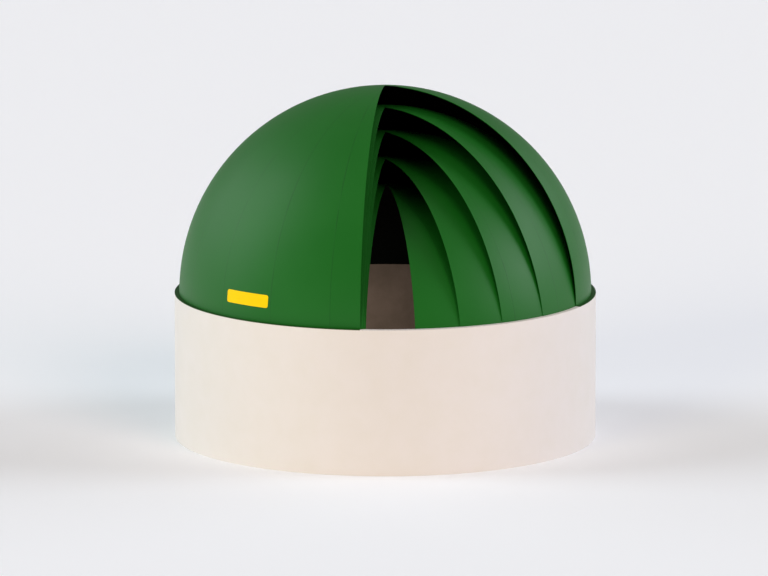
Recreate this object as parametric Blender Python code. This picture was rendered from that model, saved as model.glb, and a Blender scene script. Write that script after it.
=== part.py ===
"""Round concrete tank under five nested dome membranes, cut open at the front to show the inside.

Run it with: blender --background --python part.py
Metres, +Z up. The origin is the centre of the tank's underside, and the cutaway faces -Y.
Angles are in degrees round from the front (-Y), growing towards the right (+X).
"""

import math

import bmesh
import bpy
from mathutils import Matrix, Vector

# Tank
WALL_OUTER_RADIUS = 8.70
WALL_THICKNESS = 0.30
WALL_HEIGHT = 6.00
WALL_SEGMENTS = 12
FLOOR_THICKNESS = 0.25

# Membranes
OUTER_FOOT_RADIUS = 8.508
MEMBRANE_THICKNESS = 0.020
HEM_DROP = 0.376
PANELS_PER_MEMBRANE = 5
LATITUDE_STEP = 7.5

# From the outside in. Each dome is an upright ellipse turned about Z: height is its crown above the
# wall top, and sink is how far below the wall top the ellipse's centre lies.
# Each cutaway is a wedge: left and right are the directions of its two faces, and back is how far
# behind the tank's axis the faces meet, measured along the left one.
MEMBRANES = {
    "outer_membrane": {"height": 8.539, "sink": 0.0, "left": -6.7, "right": 63.1, "back": 0.57},
    "second_membrane": {"height": 7.708, "sink": 1.35, "left": -6.5, "right": 49.1, "back": 0.03},
    "third_membrane": {"height": 6.647, "sink": 1.35, "left": -5.9, "right": 33.4, "back": 0.20},
    "fourth_membrane": {"height": 5.516, "sink": 1.35, "left": -5.5, "right": 20.5, "back": 0.23},
    "inner_membrane": {"height": 4.354, "sink": 1.35, "left": -5.2, "right": 7.2, "back": 0.83},
}
CUT_LEFT_OF_AXIS = 0.020

# Ring that clamps the membranes to the wall top
CLAMP_RING_THICKNESS = 0.015

# Fits
GAP = 0.0003
SIDE_CLEARANCE = 0.0015
FACET = 5.0

FRONT = -90.0
WALL_INNER_RADIUS = WALL_OUTER_RADIUS - WALL_THICKNESS
TOP = WALL_HEIGHT + GAP


def clear_scene():
    """Empty the startup scene."""
    for thing in list(bpy.data.objects):
        bpy.data.objects.remove(thing)


def make_material(name, colour, roughness, metallic=0.0):
    """One plain Principled material."""
    material = bpy.data.materials.new(name)
    material.use_nodes = True
    shader = material.node_tree.nodes["Principled BSDF"]
    shader.inputs["Base Color"].default_value = (*colour, 1.0)
    shader.inputs["Roughness"].default_value = roughness
    shader.inputs["Metallic"].default_value = metallic
    material.diffuse_color = (*colour, 1.0)
    return material


def concrete():
    """Pale beige cast concrete of the wall."""
    return make_material("wall_concrete", (0.80, 0.69, 0.60), 0.85)


def screed():
    """Grey concrete of the floor."""
    return make_material("floor_concrete", (0.32, 0.30, 0.27), 0.9)


def membrane_fabric():
    """Green coated fabric of the domes."""
    return make_material("membrane_fabric", (0.018, 0.13, 0.02), 0.5)


def clamp_paint():
    """Dark green paint of the clamping ring."""
    return make_material("clamp_ring_paint", (0.010, 0.07, 0.008), 0.5, 0.2)


def direction(angle):
    """The unit vector that points out from the axis at an angle round from the front."""
    return Vector((math.sin(math.radians(angle)), -math.cos(math.radians(angle)), 0.0))


def on_facet_line(angle):
    """The nearest of the facet lines, which every round piece shares."""
    return FACET * round(angle / FACET)


def seam_angles(left, right, panels):
    """The ends of the panels, on facet lines: the first and last lie in the middle of the cutaway."""
    kept = 360 + left - right
    opening = on_facet_line((left + right) / 2)
    inner = [on_facet_line(right + kept * k / panels) for k in range(1, panels)]
    return [opening, *inner, opening + 360]


def turn_section(outline, facets):
    """The closed outline of (radius, height) points, turned about Z, as a mesh."""
    solid = bmesh.new()
    section = solid.faces.new([solid.verts.new((radius, 0.0, height)) for radius, height in outline])
    sweep = [section, *section.edges, *section.verts]
    bmesh.ops.duplicate(solid, geom=sweep)
    turn = math.radians(FACET * facets)
    bmesh.ops.spin(solid, geom=sweep, cent=(0, 0, 0), axis=(0, 0, 1), angle=turn, steps=facets)
    bmesh.ops.remove_doubles(solid, verts=solid.verts, dist=1e-6)
    bmesh.ops.recalc_face_normals(solid, faces=solid.faces)
    return solid


def add_piece(name, solid, material, parent, smooth=True):
    """Make the finished mesh an object of its own under the parent."""
    mesh = bpy.data.meshes.new(name)
    solid.to_mesh(mesh)
    solid.free()
    mesh.materials.append(material)
    if smooth:
        mesh.shade_smooth()
        mesh.set_sharp_from_angle(angle=math.radians(30))
    piece = bpy.data.objects.new(name, mesh)
    piece.parent = parent
    parent.users_collection[0].objects.link(piece)
    return piece


def add_turned_piece(name, outline, start, stop, material, parent):
    """A piece turned from start to stop, set out from the axis so that its neighbours keep the gap."""
    solid = turn_section(outline, round((stop - start) / FACET))
    piece = add_piece(name, solid, material, parent)
    offset = GAP / (2 * math.sin(math.radians(stop - start) / 2))
    piece.location = direction((start + stop) / 2) * offset
    piece.rotation_euler.z = math.radians(FRONT + start)
    return piece


def add_wall(parent):
    """The upright wall, in equal segments."""
    outline = [
        (WALL_INNER_RADIUS, 0.0),
        (WALL_OUTER_RADIUS, 0.0),
        (WALL_OUTER_RADIUS, WALL_HEIGHT),
        (WALL_INNER_RADIUS, WALL_HEIGHT),
    ]
    material = concrete()
    width = 360 / WALL_SEGMENTS
    for number in range(WALL_SEGMENTS):
        start = width * number
        add_turned_piece(f"tank_wall_{number + 1:02d}", outline, start, start + width, material, parent)


def add_floor(parent):
    """The floor slab, which fills the foot of the wall."""
    solid = bmesh.new()
    radius = WALL_INNER_RADIUS - SIDE_CLEARANCE
    bmesh.ops.create_cone(
        solid,
        cap_ends=True,
        segments=round(360 / FACET),
        radius1=radius,
        radius2=radius,
        depth=FLOOR_THICKNESS,
        matrix=Matrix.Translation((0, 0, FLOOR_THICKNESS / 2)),
    )
    add_piece("tank_floor", solid, screed(), parent)


class Dome:
    """A membrane's section: two nested elliptical arcs that end on the wall top."""

    def __init__(self, foot_radius, height, sink):
        self.sink = sink
        self.rise = height + sink
        self.reach = foot_radius / math.sqrt(1 - (sink / self.rise) ** 2)

    def arc(self, inset, foot_height=0.0):
        """Points of the arc set in by the inset, from the crown down to a height above the wall top."""
        rise = self.rise - inset
        reach = self.reach - inset
        foot = math.acos((foot_height + self.sink) / rise)
        steps = round(math.degrees(foot) / LATITUDE_STEP)
        angles = [foot * step / steps for step in range(steps + 1)]
        return [(reach * math.sin(a), TOP - self.sink + rise * math.cos(a)) for a in angles]

    def height_at(self, radius, inset):
        """How high above the wall top the arc set in by the inset is, at a radius."""
        reach = self.reach - inset
        return (self.rise - inset) * math.sqrt(1 - (radius / reach) ** 2) - self.sink

    def inner_foot_radius(self):
        """The radius at which the inner face meets the wall top."""
        return self.arc(MEMBRANE_THICKNESS)[-1][0]

    def outline(self):
        """The whole section, crown to foot outside and back up inside."""
        return self.arc(0.0) + self.arc(MEMBRANE_THICKNESS)[::-1]

    def outline_with_hem(self):
        """The section whose foot turns down inside the wall as a hem."""
        hem_outer = WALL_INNER_RADIUS - SIDE_CLEARANCE
        hem_inner = hem_outer - MEMBRANE_THICKNESS
        hem_top = self.height_at(hem_inner, MEMBRANE_THICKNESS)
        bottom = WALL_HEIGHT - HEM_DROP
        hem = [(hem_outer, TOP), (hem_outer, bottom), (hem_inner, bottom)]
        return self.arc(0.0) + hem + self.arc(MEMBRANE_THICKNESS, hem_top)[::-1]


def add_cutter(name, left, right, back, cutters):
    """The wedge that a membrane's cutaway takes away, taller and longer than the membrane."""
    length = 3 * WALL_OUTER_RADIUS
    foot = WALL_HEIGHT - 2 * HEM_DROP
    solid = bmesh.new()
    corners = [Vector(), direction(left) * length, direction(right) * length]
    triangle = solid.faces.new([solid.verts.new(corner) for corner in corners])
    raised = bmesh.ops.extrude_face_region(solid, geom=[triangle])["geom"]
    lift = (0, 0, 2 * OUTER_FOOT_RADIUS)
    bmesh.ops.translate(solid, vec=lift, verts=[v for v in raised if isinstance(v, bmesh.types.BMVert)])
    bmesh.ops.recalc_face_normals(solid, faces=solid.faces)
    mesh = bpy.data.meshes.new(name)
    solid.to_mesh(mesh)
    solid.free()
    cutter = bpy.data.objects.new(name, mesh)
    cutter.location = direction(left) * -back + direction(left - 90) * CUT_LEFT_OF_AXIS
    cutter.location.z = foot
    cutter.hide_render = True
    cutter.display_type = "WIRE"
    cutters.objects.link(cutter)
    return cutter


def cut_away(piece, cutter):
    """Take the cutter's wedge out of the piece."""
    cut = piece.modifiers.new("cutaway", "BOOLEAN")
    cut.operation = "DIFFERENCE"
    cut.solver = "EXACT"
    cut.object = cutter


def add_panels(name, outline, sizes, cutter, material, parent):
    """A turned skin in panels all the way round, less the wedge of its cutaway."""
    seams = seam_angles(sizes["left"], sizes["right"], PANELS_PER_MEMBRANE)
    for number, (start, stop) in enumerate(zip(seams, seams[1:]), 1):
        piece = add_turned_piece(f"{name}_{number}", outline, start, stop, material, parent)
        cut_away(piece, cutter)


def add_membranes(parent, cutters):
    """Five domes, one inside the other, and the flat ring outside the outer one's foot."""
    material = membrane_fabric()
    foot_radius = OUTER_FOOT_RADIUS
    for name, sizes in MEMBRANES.items():
        dome = Dome(foot_radius, sizes["height"], sizes["sink"])
        outline = dome.outline_with_hem() if name == "inner_membrane" else dome.outline()
        cutter = add_cutter(f"{name}_cutter", sizes["left"], sizes["right"], sizes["back"], cutters)
        add_panels(f"{name}_panel", outline, sizes, cutter, material, parent)
        if name == "outer_membrane":
            add_clamp_ring(sizes, cutter, parent)
        foot_radius = dome.inner_foot_radius() - SIDE_CLEARANCE


def add_clamp_ring(sizes, cutter, parent):
    """The flat ring outside the outer membrane's foot, as long as that membrane."""
    inner = OUTER_FOOT_RADIUS + SIDE_CLEARANCE
    outline = [
        (inner, TOP),
        (WALL_OUTER_RADIUS, TOP),
        (WALL_OUTER_RADIUS, TOP + CLAMP_RING_THICKNESS),
        (inner, TOP + CLAMP_RING_THICKNESS),
    ]
    add_panels("clamp_ring", outline, sizes, cutter, clamp_paint(), parent)


def main():
    """Build the whole object under one empty."""
    clear_scene()
    parts = bpy.data.collections.new("double_membrane_gas_holder")
    cutters = bpy.data.collections.new("cutters")
    bpy.context.scene.collection.children.link(parts)
    bpy.context.scene.collection.children.link(cutters)
    base = bpy.data.objects.new("gas_holder", None)
    parts.objects.link(base)
    add_wall(base)
    add_floor(base)
    add_membranes(base, cutters)


main()
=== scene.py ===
"""Looks of a double membrane gas holder: a round concrete tank under five nested green domes.

Metres, +Z up, the tank's underside on the floor at the origin. The cutaway faces the front (-Y).
Angles are in degrees round from the front, growing towards the right (+X), as in the frame.
"""

import enum
import logging
import math
from dataclasses import dataclass
from typing import Any

import bmesh
import bpy
import numpy as np
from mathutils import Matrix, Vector


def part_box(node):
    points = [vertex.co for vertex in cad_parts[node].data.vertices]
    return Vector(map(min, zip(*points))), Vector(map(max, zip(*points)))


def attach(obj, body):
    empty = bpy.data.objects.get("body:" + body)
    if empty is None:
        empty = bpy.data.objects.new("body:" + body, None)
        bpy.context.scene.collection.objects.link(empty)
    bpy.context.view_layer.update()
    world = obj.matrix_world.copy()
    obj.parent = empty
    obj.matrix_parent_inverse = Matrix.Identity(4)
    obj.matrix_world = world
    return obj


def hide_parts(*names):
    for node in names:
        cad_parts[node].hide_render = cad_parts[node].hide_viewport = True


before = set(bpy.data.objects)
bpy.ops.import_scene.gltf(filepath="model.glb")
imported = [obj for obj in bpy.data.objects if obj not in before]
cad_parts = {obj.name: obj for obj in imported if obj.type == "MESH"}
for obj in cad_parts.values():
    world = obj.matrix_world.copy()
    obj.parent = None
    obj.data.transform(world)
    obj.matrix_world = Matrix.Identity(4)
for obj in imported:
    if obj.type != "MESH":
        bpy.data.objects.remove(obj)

Array = np.ndarray
Triple = tuple[float, float, float]

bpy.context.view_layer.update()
LOG = logging.getLogger("gas_holder")

WALL_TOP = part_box("tank_wall_01")[1].z
WALL_RADIUS = -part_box("tank_wall_01")[0].y

# Edges that turn by more degrees than this stay sharp. Points nearer than this, in metres, are merged.
SHARP_CORNER = 35.0
MERGE_DISTANCE = 2e-5
SMALLEST_EDGE = 1e-6

# Numbers of a mix node's colour sockets
MIX_FIRST = 6
MIX_SECOND = 7
MIX_RESULT = 2


class Side(enum.IntEnum):
    """Which material slot a face of a skin or wall takes."""

    OUTSIDE = 0
    INSIDE = 1
    RIM = 2


# Helpers for colours, nodes and meshes


def linear(code: str) -> tuple[float, float, float, float]:
    """Turn an sRGB hex colour into linear RGBA.

    Args:
        code: Six hex digits, such as "226523".

    Returns:
        The colour as linear red, green, blue and an alpha of one.
    """
    values = [int(code[i : i + 2], 16) / 255 for i in (0, 2, 4)]
    red, green, blue = [v / 12.92 if v <= 0.04045 else ((v + 0.055) / 1.055) ** 2.4 for v in values]
    return red, green, blue, 1.0


def add_node(
    tree: bpy.types.NodeTree,
    kind: str,
    settings: dict[Any, Any] | None = None,
    links: dict[Any, bpy.types.NodeSocket] | None = None,
) -> bpy.types.Node:
    """Add one shader node.

    Args:
        tree: Node tree that takes the node.
        kind: Node type, such as "ShaderNodeMath".
        settings: Values by property name, or by socket name or number.
        links: Sources by the name or number of the socket that they feed.

    Returns:
        The new node.
    """
    node = tree.nodes.new(kind)
    for key, value in (settings or {}).items():
        if isinstance(key, str) and hasattr(node, key):
            setattr(node, key, value)
        else:
            node.inputs[key].default_value = value
    for key, source in (links or {}).items():
        tree.links.new(source, node.inputs[key])
    return node


def new_material(name: str) -> tuple[bpy.types.Material, bpy.types.NodeTree, bpy.types.Node]:
    """Start a material.

    Args:
        name: What the material is and how it was made.

    Returns:
        The material, its node tree and its Principled shader.
    """
    material = bpy.data.materials.new(name)
    material.use_nodes = True
    return material, material.node_tree, material.node_tree.nodes["Principled BSDF"]


def unit(angle: Array) -> tuple[Array, Array]:
    """Give the direction at an angle round from the front.

    Args:
        angle: Degrees round from the front.

    Returns:
        The X and Y parts of the unit vector, which are the angle's sine and its minus cosine.
    """
    turn = np.radians(angle)
    return np.sin(turn), -np.cos(turn)


def grid_mesh(name: str, points: Array, sides: Array, closed: bool) -> bpy.types.Object:
    """Make a closed skin from a grid of points: rows run along it, columns go round its section.

    Args:
        name: Name of the piece.
        points: Points as rows by columns by three. Each row is one section, read round its outline.
        sides: Material slot of each column's faces.
        closed: Whether the last row meets the first, as on a whole ring.

    Returns:
        The object, at the origin, smooth, with its doubled points merged and its faces outwards.
    """
    rows, columns, _ = points.shape
    index = np.arange(rows * columns).reshape(rows, columns)
    ahead = np.roll(index, -1, axis=0) if closed else index[1:]
    here = index if closed else index[:-1]
    quads = np.stack([here, ahead, np.roll(ahead, -1, axis=1), np.roll(here, -1, axis=1)], axis=-1)
    slots = np.broadcast_to(sides, quads.shape[:2]).reshape(-1)
    ends = [] if closed else end_caps(index)
    mesh = bpy.data.meshes.new(name)
    mesh.from_pydata(points.reshape(-1, 3), [], quads.reshape(-1, 4).tolist() + ends)
    slots = np.concatenate([slots, np.full(len(ends), Side.RIM)])
    mesh.polygons.foreach_set("material_index", slots.astype(np.int32))
    tidy(mesh)
    mesh.shade_smooth()
    mesh.set_sharp_from_angle(angle=math.radians(SHARP_CORNER))
    piece = bpy.data.objects.new(name, mesh)
    bpy.context.scene.collection.objects.link(piece)
    return piece


def end_caps(index: Array) -> list[list[int]]:
    """List the quads that close both ends of a folded section, from its rim pairs inwards.

    Args:
        index: Point numbers as rows by columns, each row folded so that column k faces column -1-k.

    Returns:
        One quad for each pair of facing columns, at the first and at the last row.
    """
    half = index.shape[1] // 2
    caps = []
    for row in (index[0], index[-1]):
        out, back = row[:half], row[::-1][:half]
        caps += np.stack([out[:-1], out[1:], back[1:], back[:-1]], axis=-1).tolist()
    return caps


def tidy(mesh: bpy.types.Mesh) -> None:
    """Merge doubled points, drop faces that collapsed and turn all faces outwards.

    Args:
        mesh: Mesh to tidy in place.
    """
    shape = bmesh.new()
    shape.from_mesh(mesh)
    bmesh.ops.remove_doubles(shape, verts=shape.verts, dist=MERGE_DISTANCE)
    bmesh.ops.dissolve_degenerate(shape, dist=SMALLEST_EDGE, edges=shape.edges)
    bmesh.ops.recalc_face_normals(shape, faces=shape.faces)
    shape.to_mesh(mesh)
    shape.free()


def place(piece: bpy.types.Object, node: str | None, materials: list[bpy.types.Material]) -> None:
    """Dress a piece and tie it to the frame.

    Args:
        piece: The finished piece.
        node: Node that it stands for, if any.
        materials: Its materials, by slot number.
    """
    for material in materials:
        piece.data.materials.append(material)
    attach(piece, "root")
    if node:
        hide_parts(node)
    LOG.info("%s: %d faces", piece.name, len(piece.data.polygons))


# Finishes


@dataclass(frozen=True)
class Patches:
    """Soft patches of a second tone on the first.

    Noise of one width is spread between two of its levels, and mixes in up to a share of the second tone.
    """

    first: str
    second: str
    width: float
    detail: float = 4.0
    coarseness: float = 0.5
    low: float = 0.0
    high: float = 1.0
    share: float = 1.0

    def build(
        self, tree: bpy.types.NodeTree, place_on: bpy.types.NodeSocket
    ) -> tuple[bpy.types.NodeSocket, bpy.types.NodeSocket]:
        """Add the patches' nodes.

        Args:
            tree: Node tree of the material.
            place_on: Object coordinates.

        Returns:
            The colour, and how much of the second tone is in it.
        """
        noise = add_node(
            tree, "ShaderNodeTexNoise",
            {"Scale": 1 / self.width, "Detail": self.detail, "Roughness": self.coarseness},
            {"Vector": place_on},
        )
        amount = add_node(
            tree, "ShaderNodeMapRange",
            {"From Min": self.low, "From Max": self.high, "To Max": self.share},
            {"Value": noise.outputs["Fac"]},
        )
        tone = add_node(
            tree, "ShaderNodeMix",
            {"data_type": "RGBA", MIX_FIRST: linear(self.first), MIX_SECOND: linear(self.second)},
            {0: amount.outputs["Result"]},
        )
        return tone.outputs[MIX_RESULT], amount.outputs["Result"]


@dataclass(frozen=True)
class Grain:
    """Fine relief: noise of one pitch, raised by a height, at a strength from 0 to 1."""

    pitch: float
    height: float
    strength: float
    detail: float = 2.0

    def build(self, tree: bpy.types.NodeTree, place_on: bpy.types.NodeSocket) -> bpy.types.NodeSocket:
        """Add the relief's nodes.

        Args:
            tree: Node tree of the material.
            place_on: Object coordinates.

        Returns:
            The bumped normal.
        """
        noise = add_node(
            tree, "ShaderNodeTexNoise", {"Scale": 1 / self.pitch, "Detail": self.detail}, {"Vector": place_on}
        )
        bump = add_node(
            tree, "ShaderNodeBump", {"Strength": self.strength, "Distance": self.height},
            {"Height": noise.outputs["Fac"]},
        )
        return bump.outputs["Normal"]


@dataclass(frozen=True)
class Finish:
    """What all the finishes share: two tones in soft patches, a grain, and gloss that dulls in the patches.

    Roughness is the middle value, and the patches take it up and down by roughness_spread. Gloss is the
    shader's specular level, whose 0.5 is the full reflection of the given IOR.
    """

    name: str
    patches: Patches
    grain: Grain
    roughness: float
    gloss: float
    ior: float = 1.5
    roughness_spread: float = 0.04

    def build(self) -> bpy.types.Material:
        """Make the material.

        Returns:
            The finished material, on object coordinates.
        """
        material, tree, shader = new_material(self.name)
        place_on = add_node(tree, "ShaderNodeTexCoord").outputs["Object"]
        colour, amount = self.patches.build(tree, place_on)
        normal = self.grain.build(tree, place_on)
        colour, normal = self.mark(tree, place_on, colour, normal)
        least, most = self.roughness - self.roughness_spread, self.roughness + self.roughness_spread
        dulled = add_node(
            tree, "ShaderNodeMapRange", {"To Min": least, "To Max": most}, {"Value": amount}
        )
        tree.links.new(colour, shader.inputs["Base Color"])
        tree.links.new(dulled.outputs["Result"], shader.inputs["Roughness"])
        tree.links.new(normal, shader.inputs["Normal"])
        shader.inputs["IOR"].default_value = self.ior
        shader.inputs["Specular IOR Level"].default_value = self.gloss
        return material

    def mark(
        self,
        tree: bpy.types.NodeTree,
        place_on: bpy.types.NodeSocket,
        colour: bpy.types.NodeSocket,
        normal: bpy.types.NodeSocket,
    ) -> tuple[bpy.types.NodeSocket, bpy.types.NodeSocket]:
        """Add the marks of how the surface was made. A plain finish has none.

        Args:
            tree: Node tree of the material.
            place_on: Object coordinates.
            colour: Colour so far.
            normal: Normal so far.

        Returns:
            The colour and the normal with the marks in them.
        """
        return colour, normal


@dataclass(frozen=True)
class CoatedFabric(Finish):
    """Polyester fabric with a calendered PVC coat, its gores welded edge over edge: a satin green skin.

    The coat is smooth plastic over a weave, so its gloss is weak and broad, and it fades a little in
    patches about a gore wide. A weld is two layers pressed into one, 50 mm wide. It shows as a thin line
    a shade darker, which comes and goes as the coat has flowed over it. The weave's real pitch is about
    1 mm, too fine to show, so it is drawn at 45 mm, about a pixel of the render.
    """

    name: str = "pvc_coated_polyester_green_welded"
    patches: Patches = Patches("106014", "16651A", 2.8, coarseness=0.55, low=0.40, high=0.75, share=0.6)
    grain: Grain = Grain(0.045, 0.010, 0.04)
    roughness: float = 0.52
    gloss: float = 0.29
    ior: float = 1.52
    seam: str = "0C4A10"
    gores: int = 20
    first_seam: float = 2.7
    seam_width: float = 0.050
    seam_height: float = 0.004
    seam_relief: float = 0.5
    flow_width: float = 1.3
    flow_low: float = 0.38
    flow_high: float = 0.58
    faintest: float = 0.25
    clearest: float = 0.85

    def mark(
        self,
        tree: bpy.types.NodeTree,
        place_on: bpy.types.NodeSocket,
        colour: bpy.types.NodeSocket,
        normal: bpy.types.NodeSocket,
    ) -> tuple[bpy.types.NodeSocket, bpy.types.NodeSocket]:
        """Draw and raise the weld seams.

        Args:
            tree: Node tree of the material.
            place_on: Object coordinates.
            colour: Colour so far.
            normal: Normal so far.

        Returns:
            The colour with the seams in their own tone, and the normal with them raised.
        """
        seam = self.seam_mask(tree, place_on)
        flow = add_node(tree, "ShaderNodeTexNoise", {"Scale": 1 / self.flow_width}, {"Vector": place_on})
        shown = add_node(
            tree, "ShaderNodeMapRange",
            {
                "From Min": self.flow_low, "From Max": self.flow_high,
                "To Min": self.faintest, "To Max": self.clearest,
            },
            {"Value": flow.outputs["Fac"]},
        )
        strip = add_node(
            tree, "ShaderNodeMath", {"operation": "MULTIPLY"}, {0: seam, 1: shown.outputs["Result"]}
        )
        coat = add_node(
            tree, "ShaderNodeMix", {"data_type": "RGBA", MIX_SECOND: linear(self.seam)},
            {0: strip.outputs["Value"], MIX_FIRST: colour},
        )
        raised = add_node(
            tree, "ShaderNodeBump", {"Strength": self.seam_relief, "Distance": self.seam_height},
            {"Height": seam, "Normal": normal},
        )
        return coat.outputs[MIX_RESULT], raised.outputs["Normal"]

    def seam_mask(self, tree: bpy.types.NodeTree, place_on: bpy.types.NodeSocket) -> bpy.types.NodeSocket:
        """Mark the weld seams, at equal angles round the axis.

        The angle round, in gores, is folded to its distance from the nearest whole number. Times the
        radius it grows with the real distance from the seam's middle line, whatever the radius.

        Args:
            tree: Node tree of the material.
            place_on: Object coordinates.

        Returns:
            One on a seam's middle line, falling to zero at its edges.
        """
        per_radian = self.gores / (2 * math.pi)
        axes = add_node(tree, "ShaderNodeSeparateXYZ", links={"Vector": place_on})
        x, y = axes.outputs["X"], axes.outputs["Y"]
        turn = add_node(tree, "ShaderNodeMath", {"operation": "ARCTAN2"}, {0: x, 1: y})
        gore = add_node(
            tree, "ShaderNodeMath",
            {"operation": "MULTIPLY_ADD", 1: per_radian, 2: math.radians(self.first_seam) * per_radian},
            {0: turn.outputs["Value"]},
        )
        near = add_node(
            tree, "ShaderNodeMath", {"operation": "PINGPONG", 1: 0.5}, {0: gore.outputs["Value"]}
        )
        flat = add_node(tree, "ShaderNodeCombineXYZ", links={"X": x, "Y": y})
        radius = add_node(
            tree, "ShaderNodeVectorMath", {"operation": "LENGTH"}, {0: flat.outputs["Vector"]}
        )
        across = add_node(
            tree, "ShaderNodeMath", {"operation": "MULTIPLY"},
            {0: near.outputs["Value"], 1: radius.outputs["Value"]},
        )
        mask = add_node(
            tree, "ShaderNodeMapRange",
            {
                "interpolation_type": "SMOOTHSTEP", "From Max": self.seam_width / 2 * per_radian,
                "To Min": 1.0, "To Max": 0.0,
            },
            {"Value": across.outputs["Value"]},
        )
        return mask.outputs["Result"]


@dataclass(frozen=True)
class PaintedShadeBacking(Finish):
    """The fabric's inner face, drawn nearly black, dull and faintly patchy: painted shade of the space inside
    the domes.

    It gives the eye deep, even shade between the domes. The weave is drawn at 45 mm, as on the outer face.
    """

    name: str = "pvc_inner_face_black_painted_shade"
    # Near-black tones: painted shade, not the fabric's own colour.
    patches: Patches = Patches("040504", "090B09", 1.2, detail=5.0)
    grain: Grain = Grain(0.045, 0.010, 0.04)
    roughness: float = 0.85
    gloss: float = 0.15


@dataclass(frozen=True)
class CastConcrete(Finish):
    """Concrete cast in place: matt and pale, with faint clouds about a metre wide and fine pores.

    Pores are 1 to 15 mm across. They are drawn at 48 mm, about a pixel of the render.
    """

    grain: Grain = Grain(0.048, 0.004, 0.25, detail=4.0)
    roughness: float = 0.90
    gloss: float = 0.07


@dataclass(frozen=True)
class PaintedSteel(Finish):
    """Flat steel bar, rolled and brush painted dark green: satin, in slightly uneven coats.

    It gives the eye a thin dark edge between wall and dome. Brush marks are 1 to 3 mm apart. They are
    drawn at 20 mm, half a pixel of the render.
    """

    name: str = "steel_bar_brush_painted_dark_green"
    patches: Patches = Patches("12450F", "1C5417", 0.33)
    grain: Grain = Grain(0.020, 0.001, 0.2)
    roughness: float = 0.55
    gloss: float = 0.2


@dataclass(frozen=True)
class YellowFabric(Finish):
    """A patch of yellow PVC coated fabric, welded on: clean and even, its coat smoother than the dome's.

    It gives the eye one bright, flat spot of colour. The weave is drawn at 45 mm, as on the dome.
    """

    name: str = "pvc_coated_polyester_yellow_welded"
    patches: Patches = Patches("F6D000", "F0C800", 0.4, detail=2.0)
    grain: Grain = Grain(0.045, 0.010, 0.04)
    roughness: float = 0.40
    gloss: float = 0.1


# Shapes of the membranes


@dataclass(frozen=True)
class Cutaway:
    """The wedge taken out of a dome: two upright faces that meet behind the tank's axis."""

    left: float
    right: float
    back: float
    left_of_axis: float = 0.020

    @property
    def right_of_axis(self) -> float:
        """Give the right face's distance from the axis: the meeting point's part along its normal.

        Returns:
            The distance, in metres.
        """
        spread = math.radians(self.right - self.left)
        return self.back * math.sin(spread) - self.left_of_axis * math.cos(spread)

    def right_edge(self, radius: Array) -> Array:
        """Give the right face's angle: its own direction plus the arcsine of offset over radius.

        Args:
            radius: Radii in any shape.

        Returns:
            Degrees round from the front, in the same shape.
        """
        return self.right + np.degrees(np.arcsin(np.clip(self.right_of_axis / radius, -1, 1)))

    def left_edge(self, radius: Array) -> Array:
        """Give the left face's angle, one turn on: its direction less the arcsine of offset over radius.

        Args:
            radius: Radii in any shape.

        Returns:
            Degrees round from the front, in the same shape.
        """
        return self.left + 360 - np.degrees(np.arcsin(np.clip(self.left_of_axis / radius, -1, 1)))

    def exit_radius(self, angle: Array) -> Array:
        """Give the radius at which a line from the axis leaves the wedge.

        Args:
            angle: Degrees round from the front, outside the wedge's own spread.

        Returns:
            The nearer of the two faces: each one's offset over the sine of the angle to it.
        """
        tiny = 1e-3
        to_right = np.sin(np.radians(angle - self.right))
        to_left = np.sin(np.radians(self.left + 360 - angle))
        right = np.where(to_right > tiny, self.right_of_axis / np.maximum(to_right, tiny), np.inf)
        left = np.where(to_left > tiny, self.left_of_axis / np.maximum(to_left, tiny), np.inf)
        return np.minimum(right, left)


@dataclass(frozen=True)
class Dome:
    """One membrane, an upright ellipse turned about the axis, whose foot stands on the wall top."""

    name: str
    foot: float
    height: float
    sink: float
    cutaway: Cutaway

    @property
    def rise(self) -> float:
        """Give the ellipse's upright half axis.

        Returns:
            The half axis, in metres.
        """
        return self.height + self.sink

    @property
    def reach(self) -> float:
        """Give the ellipse's level half axis, worked back from the foot's radius.

        Returns:
            The half axis, in metres.
        """
        return self.foot / math.sqrt(1 - (self.sink / self.rise) ** 2)

    def inner_foot(self, thickness: float) -> float:
        """Give the radius at which the inner face meets the wall top.

        Args:
            thickness: How far the inner face is set in.

        Returns:
            The radius, in metres.
        """
        return (self.reach - thickness) * math.sqrt(1 - (self.sink / (self.rise - thickness)) ** 2)

    def arc(self, start: Array, inset: float, foot_height: float, steps: int) -> tuple[Array, Array]:
        """Follow the section from a radius near the crown down to the foot.

        The point at parameter t has the radius reach sin t and the height rise cos t less the sink.

        Args:
            start: Radius where each row starts.
            inset: How far inside the outer face the arc runs.
            foot_height: Height above the wall top where it ends.
            steps: Number of steps along it.

        Returns:
            Radius and height, as rows by steps + 1.
        """
        reach, rise = self.reach - inset, self.rise - inset
        first = np.arcsin(start / reach)[:, None]
        last = math.acos((foot_height + self.sink) / rise)
        turn = first + (last - first) * np.linspace(0, 1, steps + 1)[None, :]
        return reach * np.sin(turn), WALL_TOP + rise * np.cos(turn) - self.sink


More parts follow.
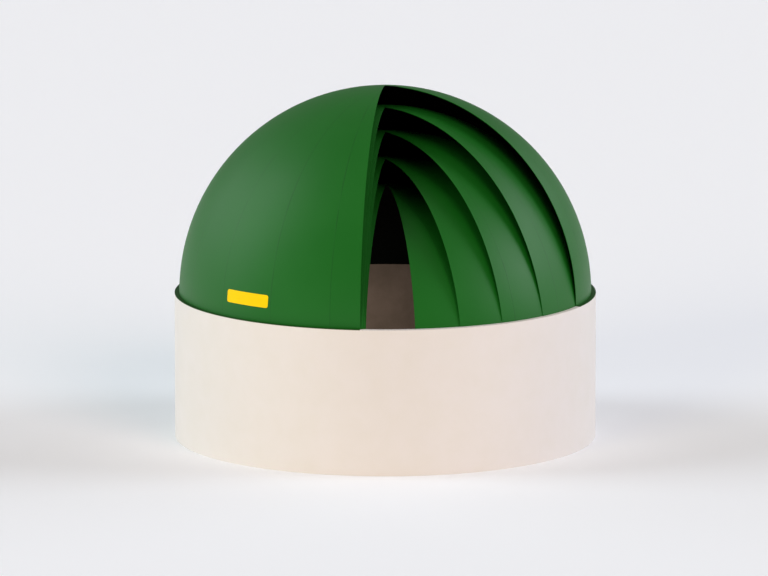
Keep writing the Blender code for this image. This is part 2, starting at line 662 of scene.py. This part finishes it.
@dataclass(frozen=True)
class Panelling:
    """How a cut and turned skin is shared out in panels, on the facet lines of the frame's own nodes."""

    cutaway: Cutaway
    panels: int = 5
    facet: float = 5.0
    step: float = 1.25

    def seams(self) -> list[float]:
        """Give the panels' ends: equal shares of what the cutaway leaves, moved to the nearest facet lines.

        Returns:
            One angle more than there are panels. The first and the last are in the cutaway's middle.
        """
        right, left = self.cutaway.right, self.cutaway.left
        kept = 360 + left - right
        opening = self.facet * round((left + right) / 2 / self.facet)
        shares = [(right + kept * k / self.panels) / self.facet for k in range(1, self.panels)]
        return [opening, *(self.facet * round(share) for share in shares), opening + 360]

    def rows(self, number: int) -> tuple[Array, Array]:
        """Share out a panel's width.

        Every row of the first and last panels starts where their one seam leaves the cutaway, because
        their other edge follows a face of it.

        Args:
            number: The panel, counted from zero.

        Returns:
            For each row, its share of the way across, and the radius where it leaves the cutaway.
        """
        start, stop = self.seams()[number : number + 2]
        share = np.linspace(0, 1, round((stop - start) / self.step) + 1)
        leaving = start + (stop - start) * share
        if number == 0:
            leaving = np.full_like(share, stop)
        elif number == self.panels - 1:
            leaving = np.full_like(share, start)
        return share, self.cutaway.exit_radius(leaving)

    def edges(self, number: int, radius: Array) -> tuple[Array, Array]:
        """Give the angles of a panel's two edges at each radius.

        Args:
            number: The panel, counted from zero.
            radius: Radii in any shape.

        Returns:
            The first and the last edge's angle, in the same shape.
        """
        start, stop = self.seams()[number : number + 2]
        first = self.cutaway.right_edge(radius) if number == 0 else np.full_like(radius, start)
        if number == self.panels - 1:
            return first, self.cutaway.left_edge(radius)
        return first, np.full_like(radius, stop)

    def points(self, number: int, share: Array, radius: Array, height: Array) -> Array:
        """Turn a section's radii and heights into points, row by row, between the panel's edges.

        A row's angle is its share of the way from the first edge to the last at that radius.

        Args:
            number: The panel, counted from zero.
            share: Each row's share of the way across.
            radius: Radii as rows by columns.
            height: Heights as rows by columns.

        Returns:
            Points as rows by columns by three.
        """
        start, stop = self.edges(number, radius)
        east, north = unit(start + (stop - start) * share[:, None])
        return np.stack([radius * east, radius * north, height], axis=-1)


# Sub-assemblies


@dataclass(frozen=True)
class Tank:
    """The concrete wall, in segments, and the floor inside its foot.

    Outside, the wall is cast against smooth forms: pale, matt and even, so it takes the warmth of the front
    lamps. Inside, it is a darker brown, partly stain and partly painted shade of the tank's inside. The floor
    is floated: grey, with float marks 24 mm apart.
    """

    wall: float = 0.30
    segments: int = 12
    arris: float = 0.015
    arris_steps: int = 3
    lifts: int = 8
    step: float = 0.75
    floor_thickness: float = 0.25
    floor_fall: float = 0.040
    floor_rings: int = 24
    floor_step: float = 2.5
    clearance: float = 0.0015
    outside: CastConcrete = CastConcrete(
        "concrete_cast_smooth_pale",
        Patches("DBDAD8", "D9D8D4", 1.1, detail=6.0, coarseness=0.6, low=0.35, high=0.70),
    )
    # The inside's darker brown is partly stain and partly painted shade of the tank's inside.
    inside: CastConcrete = CastConcrete(
        "concrete_cast_stained_brown",
        Patches("6A5F58", "5C534B", 1.1, detail=6.0, coarseness=0.6, low=0.35, high=0.70),
    )
    screed: CastConcrete = CastConcrete(
        "concrete_floated_grey",
        Patches("8A857D", "77726B", 1.1, detail=6.0, coarseness=0.6, low=0.35, high=0.70),
        Grain(0.024, 0.004, 0.25, detail=4.0),
    )

    def build(self) -> None:
        """Make the wall segments and the floor."""
        pale, brown = self.outside.build(), self.inside.build()
        radius, height, slots = self.section()
        width = 360 / self.segments
        share = np.linspace(0, 1, round(width / self.step) + 1)[:, None]
        for number in range(self.segments):
            east, north = unit(width * (number + share))
            level = np.broadcast_to(height, (len(share), len(height)))
            points = np.stack([radius * east, radius * north, level], axis=-1)
            node = f"tank_wall_{number + 1:02d}"
            piece = grid_mesh(f"cast_{node}", points, slots[None, :], closed=False)
            place(piece, node, [pale, brown, pale])
        self.build_floor()

    def section(self) -> tuple[Array, Array, Array]:
        """Give the wall's section: a tall rectangle whose top corners are rounded by the arris.

        The top and both rounded corners take the outside's finish.

        Returns:
            Radius and height round the section, up the outside and down the inside, and the slots.
        """
        turn = np.radians(np.linspace(0, 90, self.arris_steps + 1))
        climb = np.linspace(0, WALL_TOP - self.arris, self.lifts + 1)[:-1]
        rounding = WALL_RADIUS - self.arris * (1 - np.cos(turn))
        out_r = np.concatenate([np.full(self.lifts, WALL_RADIUS), rounding])
        out_z = np.concatenate([climb, WALL_TOP - self.arris * (1 - np.sin(turn))])
        in_r = 2 * WALL_RADIUS - self.wall - out_r[::-1]
        slots = np.full(2 * len(out_r), Side.OUTSIDE)
        slots[len(out_r) + self.arris_steps : -1] = Side.INSIDE
        return np.concatenate([out_r, in_r]), np.concatenate([out_z, out_z[::-1]]), slots

    def build_floor(self) -> None:
        """Make the floor: a disc that falls to its middle, in a parabola, over a flat underside."""
        radius = WALL_RADIUS - self.wall - self.clearance
        climb = np.linspace(0, 1, self.floor_rings + 1)
        top = self.floor_thickness - self.floor_fall * (1 - climb**2)
        outward = np.concatenate([climb, climb[::-1]]) * radius
        level = np.concatenate([top, np.zeros_like(top)])
        east, north = unit(np.arange(0, 360, self.floor_step)[:, None])
        level = np.broadcast_to(level, (len(east), len(level)))
        points = np.stack([outward * east, outward * north, level], axis=-1)
        slots = np.full((1, len(outward)), Side.OUTSIDE)
        piece = grid_mesh("floated_tank_floor", points, slots, closed=True)
        place(piece, "tank_floor", [self.screed.build()])

    def carriers(self, start: float, stop: float) -> list[str]:
        """Name the wall segments under a stretch of the wall top.

        Args:
            start: Angle where the stretch starts.
            stop: Angle where it ends.

        Returns:
            The segments' nodes.
        """
        width = 360 / self.segments
        under = range(math.floor(start / width), math.ceil(stop / width))
        return [f"tank_wall_{number % self.segments + 1:02d}" for number in under]


@dataclass(frozen=True)
class Roof:
    """The five membranes, one inside the other, each in welded panels."""

    tank: Tank
    foot: float = 8.508
    skin: float = 0.020
    clearance: float = 0.0015
    hem_drop: float = 0.376
    hem_steps: int = 4
    steps: int = 64
    outside: CoatedFabric = CoatedFabric()
    # The inner faces take the near-black painted shade.
    inside: PaintedShadeBacking = PaintedShadeBacking()

    def domes(self) -> list[Dome]:
        """List the domes from the outside in, each foot just inside the one before.

        Each row gives a dome's name, its height above the wall top, how far its ellipse's middle is sunk
        below the wall top, and its cutaway.

        Returns:
            The domes.
        """
        shapes = [
            ("outer_membrane", 8.539, 0.0, Cutaway(-6.3, 63.1, 0.594, left_of_axis=0.0795)),
            ("second_membrane", 7.708, 1.35, Cutaway(-6.5, 49.1, 0.03)),
            ("third_membrane", 6.647, 1.35, Cutaway(-5.9, 33.4, 0.20)),
            ("fourth_membrane", 5.516, 1.35, Cutaway(-5.5, 20.5, 0.23)),
            ("inner_membrane", 4.354, 1.35, Cutaway(-5.2, 7.2, 0.83)),
        ]
        domes, foot = [], self.foot
        for name, height, sink, cutaway in shapes:
            domes.append(Dome(name, foot, height, sink, cutaway))
            foot = domes[-1].inner_foot(self.skin) - self.clearance
        return domes

    def build(self) -> None:
        """Make every dome's panels."""
        green, black = self.outside.build(), self.inside.build()
        for dome in self.domes():
            panelling = Panelling(dome.cutaway)
            for number in range(panelling.panels):
                share, start = panelling.rows(number)
                radius, height, slots = self.section(dome, start)
                points = panelling.points(number, share, radius, height)
                node = f"{dome.name}_panel_{number + 1}"
                piece = grid_mesh(f"welded_{node}", points, slots[None, :], closed=False)
                place(piece, node, [green, black, green])
                first, last = panelling.edges(number, np.array([dome.foot]))
                self.declare(piece, self.tank.carriers(float(first[0]), float(last[0])))

    def section(self, dome: Dome, start: Array) -> tuple[Array, Array, Array]:
        """Follow a panel's section: down the outer face, along the foot or hem, and up the inner face.

        Args:
            dome: The dome.
            start: Radius where each row leaves the cutaway.

        Returns:
            Radius and height as rows by columns, and the slot of each column's faces.
        """
        out_r, out_z = dome.arc(start, 0.0, 0.0, self.steps)
        hem_r, hem_z, end = self.hem(dome)
        in_r, in_z = dome.arc(start, self.skin, end, self.steps)
        hem_r, hem_z = (np.broadcast_to(part, (len(start), len(part))) for part in (hem_r, hem_z))
        radius = np.concatenate([out_r, hem_r, in_r[:, ::-1]], axis=1)
        height = np.concatenate([out_z, hem_z, in_z[:, ::-1]], axis=1)
        slots = np.full(radius.shape[1], Side.INSIDE)
        slots[: self.steps] = Side.OUTSIDE
        return radius, height, slots

    def hem(self, dome: Dome) -> tuple[Array, Array, float]:
        """Give the extra points of the innermost dome, whose foot turns down inside the wall. Its faces take
        the near-black inner finish, so it hangs as a band of painted shade inside the wall top.

        Args:
            dome: The dome.

        Returns:
            The hem's radii and heights, an even number of points, and where the inner face ends.
        """
        if dome.name != "inner_membrane":
            return np.empty(0), np.empty(0), 0.0
        outer = WALL_RADIUS - self.tank.wall - self.clearance
        inner = outer - self.skin
        drop = np.linspace(0, -self.hem_drop, self.hem_steps + 1)
        inner_top = (dome.rise - self.skin) * math.sqrt(1 - (inner / (dome.reach - self.skin)) ** 2)
        radius = np.concatenate([np.full_like(drop, outer), np.full_like(drop, inner)])
        height = np.concatenate([drop, drop[::-1]])
        return radius, WALL_TOP + height, inner_top - dome.sink

    def declare(self, piece: bpy.types.Object, carriers: list[str]) -> None:
        """Read the area and the material slot of every face of a panel, and do nothing more with them.

        Args:
            piece: The panel.
            carriers: Not used.
        """
        size, slot = np.empty(len(piece.data.polygons)), np.empty(len(piece.data.polygons), np.int32)
        piece.data.polygons.foreach_get("area", size)
        piece.data.polygons.foreach_get("material_index", slot)


@dataclass(frozen=True)
class ClampRing:
    """The flat ring that holds the membranes down on the wall top, outside the outer dome's foot."""

    foot: float
    clearance: float = 0.0015
    thickness: float = 0.015
    gap: float = 0.0003
    arris: float = 0.003
    finish: PaintedSteel = PaintedSteel()

    def build(self, cutaway: Cutaway) -> None:
        """Make the ring's segments: a flat bar's section, with its top corners taken off, carried round.

        Args:
            cutaway: The outer dome's cutaway, which cuts the ring as well.
        """
        material = self.finish.build()
        panelling = Panelling(cutaway)
        inner, outer = self.foot + self.clearance, WALL_RADIUS
        base = WALL_TOP + self.gap
        top = base + self.thickness
        radius = np.array([outer, outer, outer - self.arris, inner + self.arris, inner, inner])
        height = np.array([base, top - self.arris, top, top, top - self.arris, base])
        for number in range(panelling.panels):
            share, _ = panelling.rows(number)
            rows = (len(share), len(radius))
            around, level = np.broadcast_to(radius, rows), np.broadcast_to(height, rows)
            points = panelling.points(number, share, around, level)
            node = f"clamp_ring_{number + 1}"
            slots = np.full((1, len(radius)), Side.OUTSIDE)
            piece = grid_mesh(f"painted_{node}", points, slots, closed=False)
            place(piece, node, [material, material, material])


@dataclass(frozen=True)
class YellowPatch:
    """The plain yellow patch welded low on the left of the outer dome."""

    angle: float = -41.7
    height: float = 0.865
    width: float = 2.23
    tall: float = 0.52
    corner: float = 0.09
    proud: float = 0.006
    bedded: float = 0.001
    rim_points: int = 120
    corner_points: int = 7
    rings: int = 9
    carrier: str = "welded_outer_membrane_panel_5"
    finish: YellowFabric = YellowFabric()

    def build(self, dome: Dome) -> None:
        """Make the patch as rings from its middle out: a rounded rectangle laid on the dome.

        Args:
            dome: The dome that carries it.
        """
        scale = np.linspace(0, 1, self.rings)[:, None, None]
        face = scale * self.rim()[None]
        front, behind = self.lay(dome, face, self.proud), self.lay(dome, face, self.bedded)
        points = np.concatenate([front, behind[::-1]], axis=0).transpose(1, 0, 2)
        slots = np.full((1, points.shape[1]), Side.OUTSIDE)
        piece = grid_mesh("plain_yellow_patch", points, slots, closed=True)
        place(piece, None, [self.finish.build()])

    def rim(self) -> Array:
        """Give the outline: four quarter circles joined by straight sides, its points evenly spaced.

        Returns:
            Points as (across, up), in metres.
        """
        quarter = np.radians(np.linspace(0, 90, self.corner_points))
        turn = np.repeat(np.arange(4), self.corner_points)
        bend = np.tile(quarter, 4) + turn * math.pi / 2
        right = np.where((turn == 0) | (turn == 3), 1, -1)
        over = np.where(turn < 2, 1, -1)
        across = right * (self.width / 2 - self.corner) + self.corner * np.cos(bend)
        up = over * (self.tall / 2 - self.corner) + self.corner * np.sin(bend)
        loop = np.stack([np.append(across, across[0]), np.append(up, up[0])], axis=-1)
        run = np.append(0.0, np.cumsum(np.linalg.norm(np.diff(loop, axis=0), axis=-1)))
        stops = np.linspace(0, run[-1], self.rim_points, endpoint=False)
        return np.stack([np.interp(stops, run, loop[:, 0]), np.interp(stops, run, loop[:, 1])], axis=-1)

    def lay(self, dome: Dome, face: Array, proud: float) -> Array:
        """Lay flat points on the dome: across becomes an angle round, up a height on its section.

        Args:
            dome: The dome.
            face: Points as (across, up), in metres.
            proud: How far outside the dome they lie.

        Returns:
            The points in space.
        """
        height = self.height + face[..., 1]
        reach, rise = dome.reach + proud, dome.rise + proud
        radius = reach * np.sqrt(1 - ((height + dome.sink) / rise) ** 2)
        east, north = unit(self.angle + np.degrees(face[..., 0] / radius))
        return np.stack([radius * east, radius * north, WALL_TOP + height], axis=-1)


# Studio


@dataclass(frozen=True)
class Lamp:
    """A broad, far soft light: where it stands round from the front and above the floor, and how strong."""

    name: str
    angle: float
    height: float
    strength: float
    colour: str = "FFFFFF"
    gloss: bool = True
    spread: float = 30.0

    def hang(self) -> None:
        """Put the lamp in the scene, shining at the tank."""
        light = bpy.data.lights.new(self.name, "SUN")
        light.energy = self.strength
        light.color = linear(self.colour)[:3]
        light.angle = math.radians(self.spread)
        lamp = bpy.data.objects.new(self.name, light)
        east, north = unit(np.array(self.angle))
        level, up = math.cos(math.radians(self.height)), math.sin(math.radians(self.height))
        towards = Vector((float(east) * level, float(north) * level, up))
        lamp.rotation_euler = towards.to_track_quat("Z", "Y").to_euler()
        lamp.visible_glossy = self.gloss
        bpy.context.scene.collection.objects.link(lamp)


@dataclass(frozen=True)
class InsidePanel:
    """A soft light panel inside the tank that shines at the stretch of wall behind the opening."""

    power: float = 215.0
    width: float = 4.0
    tall: float = 2.0
    spread: float = 80.0
    stands: Triple = (-1.5, -3.0, 3.2)
    back_towards: Triple = (0.15, -1.0, 0.06)
    colour: str = "FFF1E2"

    def hang(self) -> None:
        """Put the panel in the scene, unseen by the camera and in reflections."""
        light = bpy.data.lights.new("inside_fill", "AREA")
        light.shape = "RECTANGLE"
        light.size, light.size_y = self.width, self.tall
        light.spread = math.radians(self.spread)
        light.energy = self.power
        light.color = linear(self.colour)[:3]
        panel = bpy.data.objects.new("inside_fill", light)
        panel.location = self.stands
        panel.rotation_euler = Vector(self.back_towards).to_track_quat("Z", "Y").to_euler()
        panel.visible_camera = False
        panel.visible_glossy = False
        bpy.context.scene.collection.objects.link(panel)


@dataclass(frozen=True)
class Studio:
    """Pale floor, soft light and the camera, which stands where the photo's outlines put it."""

    distance: float = 356.04
    above_wall: float = 65.72
    pitch: float = 10.436
    focal: float = 410.8
    side_shift: float = -0.00164
    far_clip: float = 2000.0
    floor_reach: float = 900.0
    floor_drop: float = 0.001
    floor_colour: str = "F5FBFF"
    sky: float = 0.27
    inside: InsidePanel = InsidePanel()
    lamps: tuple[Lamp, ...] = (
        Lamp("front_left_warm", -35.0, 12.0, 1.24, "FFEAC4", gloss=False),
        Lamp("front_right_warm", 30.0, 28.0, 1.10, "FFD6CA", gloss=False),
        Lamp("left_high", -95.0, 36.0, 0.90, "F2F7FF"),
        Lamp("left_low", -95.0, 15.0, 0.46, "F2F7FF"),
        Lamp("left_rear", -127.0, 19.0, 0.34, "F2F7FF"),
        Lamp("right_high", 95.0, 26.0, 1.26, "F2F7FF"),
        Lamp("right_rear", 127.0, 22.0, 0.40, "F2F7FF"),
    )

    def build(self) -> None:
        """Make the camera, the floor and the lights."""
        self.add_camera()
        self.add_floor()
        self.add_lights()

    def add_camera(self) -> None:
        """Stand the camera far in front, a little above, looking slightly down."""
        lens = bpy.data.cameras.new("view")
        lens.lens = self.focal
        lens.shift_x = self.side_shift
        lens.clip_end = self.far_clip
        camera = bpy.data.objects.new("view", lens)
        camera.location = (0.0, -self.distance, WALL_TOP + self.above_wall)
        camera.rotation_euler = (math.radians(90 - self.pitch), 0.0, 0.0)
        bpy.context.scene.collection.objects.link(camera)
        bpy.context.scene.camera = camera

    def add_floor(self) -> None:
        """Lay a wide pale floor just under the tank."""
        sides = [(-1, -1), (1, -1), (1, 1), (-1, 1)]
        corners = [(x * self.floor_reach, y * self.floor_reach, -self.floor_drop) for x, y in sides]
        mesh = bpy.data.meshes.new("floor")
        mesh.from_pydata(corners, [], [(0, 1, 2, 3)])
        floor = bpy.data.objects.new("floor", mesh)
        bpy.context.scene.collection.objects.link(floor)
        material, _, shader = new_material("floor_matt_pale")
        shader.inputs["Base Color"].default_value = linear(self.floor_colour)
        shader.inputs["Roughness"].default_value = 1.0
        mesh.materials.append(material)

    def add_lights(self) -> None:
        """Light it with a pale sky, two warm lamps in front, and cooler ones beside and behind."""
        scene = bpy.context.scene
        scene.view_settings.view_transform = "Standard"
        world = bpy.data.worlds.new("studio")
        world.use_nodes = True
        sky = world.node_tree.nodes["Background"]
        sky.inputs["Color"].default_value = linear("FFFFFF")
        sky.inputs["Strength"].default_value = self.sky
        scene.world = world
        for lamp in self.lamps:
            lamp.hang()
        self.inside.hang()


def main() -> None:
    """Build every sub-assembly in order."""
    logging.basicConfig(level=logging.INFO, format="%(message)s")
    Studio().build()
    tank = Tank()
    tank.build()
    roof = Roof(tank)
    roof.build()
    outer = roof.domes()[0]
    ClampRing(roof.foot).build(outer.cutaway)
    YellowPatch().build(outer)


if __name__ == "__main__":
    main()
